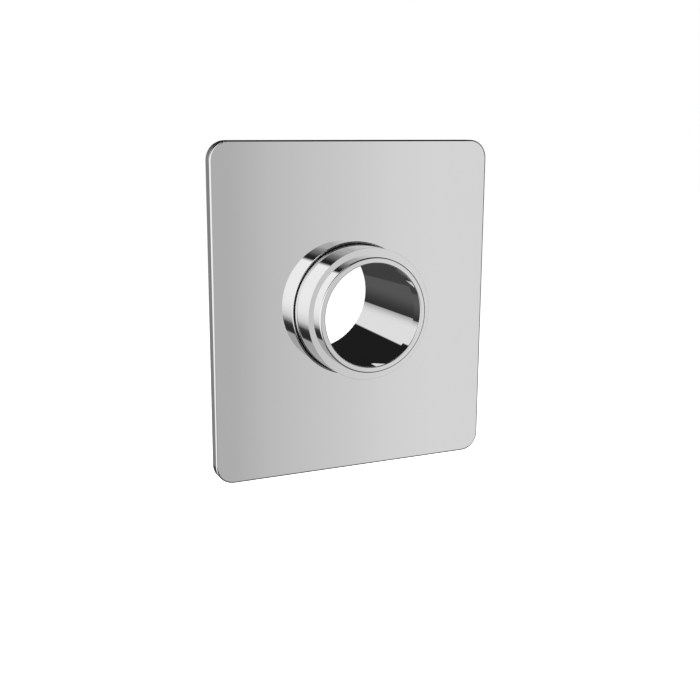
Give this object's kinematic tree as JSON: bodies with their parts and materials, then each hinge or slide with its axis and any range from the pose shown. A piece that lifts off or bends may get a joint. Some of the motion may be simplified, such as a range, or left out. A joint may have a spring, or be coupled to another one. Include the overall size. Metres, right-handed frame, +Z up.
{
  "type": "thermostatic shower valve trim",
  "caption": "Rectangular chromed cover plate with a stepped, hollow sleeve for the control of a concealed thermostatic shower valve, with its seals, guide collar and clip-on mounting frame.",
  "frame": {"origin": "on the sleeve's axis, in the plane of the finished wall that the gasket rests on", "axes": "+Z up, +Y into the wall, +X to the right seen from in front"},
  "size_m": [0.152, 0.0742, 0.17],
  "materials": {
    "plate_chrome": "polished",
    "sleeve_chrome": "polished",
    "foam": "matt closed-cell foam",
    "black_rubber": "matt",
    "black_plastic": "moulded",
    "white_acetal": "moulded",
    "grey_plastic": "moulded",
    "brass": "turned",
    "steel": "plain"
  },
  "bodies": {
    "frame": {"mounting_frame": "grey_plastic", "frame_seal": "black_rubber", "stud_clip_1": "steel", "stud_clip_2": "steel", "stud_clip_3": "steel", "stud_clip_4": "steel", "box_screws": "steel", "screw_washers": "steel"},
    "plate": {"cover_plate": "plate_chrome", "plate_gasket": "foam", "wiper_seal": "black_rubber", "guide_collar": "black_plastic", "friction_ring": "black_rubber", "glide_ring": "white_acetal", "collar_screws": "steel", "plate_stud_1": "brass", "plate_stud_2": "brass", "plate_stud_3": "brass", "plate_stud_4": "brass"},
    "sleeve": {"sleeve": "sleeve_chrome", "stop_ring": "steel"}
  },
  "joints": [
    {"name": "plate_depth", "type": "slide", "parent": "frame", "child": "plate", "axis": [0, -1, 0], "range_m": [-0.007, 0.01]},
    {"name": "sleeve_depth", "type": "slide", "parent": "plate", "child": "sleeve", "axis": [0, -1, 0], "range_m": [-0.016, 0.021]}
  ]
}
